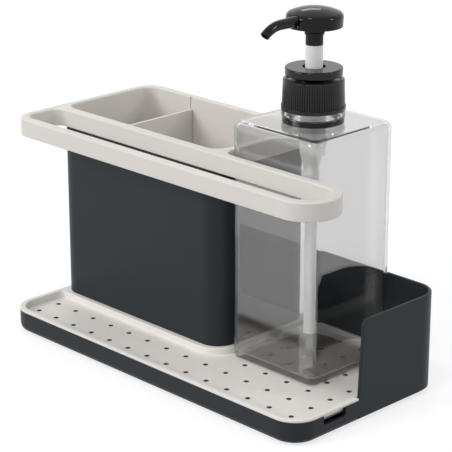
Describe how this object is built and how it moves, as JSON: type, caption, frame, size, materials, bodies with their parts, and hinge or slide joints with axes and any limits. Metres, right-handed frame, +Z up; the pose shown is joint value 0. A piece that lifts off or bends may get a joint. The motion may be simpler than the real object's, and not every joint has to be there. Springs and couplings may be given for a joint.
{
  "type": "sink caddy with soap pump",
  "caption": "Sink caddy: dark basin with corner guard and pierced drip tray, divided brush pot with cloth rail, and a clear square bottle with a lotion pump.",
  "frame": {"origin": "on the ground, under the middle of the basin's outline", "axes": "+X along the caddy towards the end with the corner guard, +Y to the back, +Z up"},
  "size_m": [0.24, 0.1176, 0.2154],
  "materials": {
    "dark_plastic": "satin",
    "light_plastic": "satin",
    "clear_plastic": "clear gloss",
    "black_plastic": "gloss",
    "white_plastic": "natural",
    "foot_rubber": "matte",
    "steel": "drawn"
  },
  "bodies": {
    "base": {"base_tray": "dark_plastic", "rubber_feet": "foot_rubber"},
    "tray": {"drip_tray": "light_plastic"},
    "pot": {"canister": "dark_plastic"},
    "insert": {"rail_insert": "light_plastic"},
    "plate": {"divider": "light_plastic"},
    "flask": {"bottle": "clear_plastic", "neck_ring": "black_plastic"},
    "pump": {"collar_disc": "black_plastic", "neck_gasket": "white_plastic", "pump_housing": "white_plastic", "ball_retainer": "white_plastic", "dip_tube": "white_plastic", "return_spring": "steel"},
    "cap": {"closure": "black_plastic"},
    "valve": {"inlet_ball": "steel"},
    "plunger": {"stem": "white_plastic", "piston": "white_plastic", "outlet_plug": "white_plastic"},
    "head": {"pump_head": "black_plastic", "nozzle": "black_plastic"}
  },
  "joints": [
    {"name": "tray_lift", "type": "slide", "parent": "base", "child": "tray", "axis": [0, 0, 1], "range_m": [0, 0.06]},
    {"name": "pot_lift", "type": "slide", "parent": "tray", "child": "pot", "axis": [0, 0, 1], "range_m": [0, 0.06]},
    {"name": "insert_lift", "type": "slide", "parent": "pot", "child": "insert", "axis": [0, 0, 1], "range_m": [0, 0.065]},
    {"name": "divider_lift", "type": "slide", "parent": "insert", "child": "plate", "axis": [0, 0, 1], "range_m": [0, 0.115]},
    {"name": "bottle_lift", "type": "slide", "parent": "tray", "child": "flask", "axis": [0, 0, 1], "range_m": [0, 0.15]},
    {"name": "pump_draw", "type": "slide", "parent": "flask", "child": "pump", "axis": [0, 0, 1], "range_m": [0, 0.15]},
    {"name": "closure_turn", "type": "hinge", "parent": "pump", "child": "cap", "pos_m": [0.0568, 0.019, 0.2], "axis": [0, 0, 1], "range_deg": [0, 540]},
    {"name": "ball_lift", "type": "slide", "parent": "pump", "child": "valve", "axis": [0, 0, 1], "range_m": [0, 0.0015]},
    {"name": "head_press", "type": "slide", "parent": "pump", "child": "plunger", "axis": [0, 0, -1], "range_m": [0, 0.016], "stiffness_N_per_m": 600, "springref_m": -0.008, "deforming": ["return_spring"]},
    {"name": "head_swivel", "type": "hinge", "parent": "plunger", "child": "head", "pos_m": [0.0568, 0.019, 0.2], "axis": [0, 0, 1], "continuous": true}
  ]
}
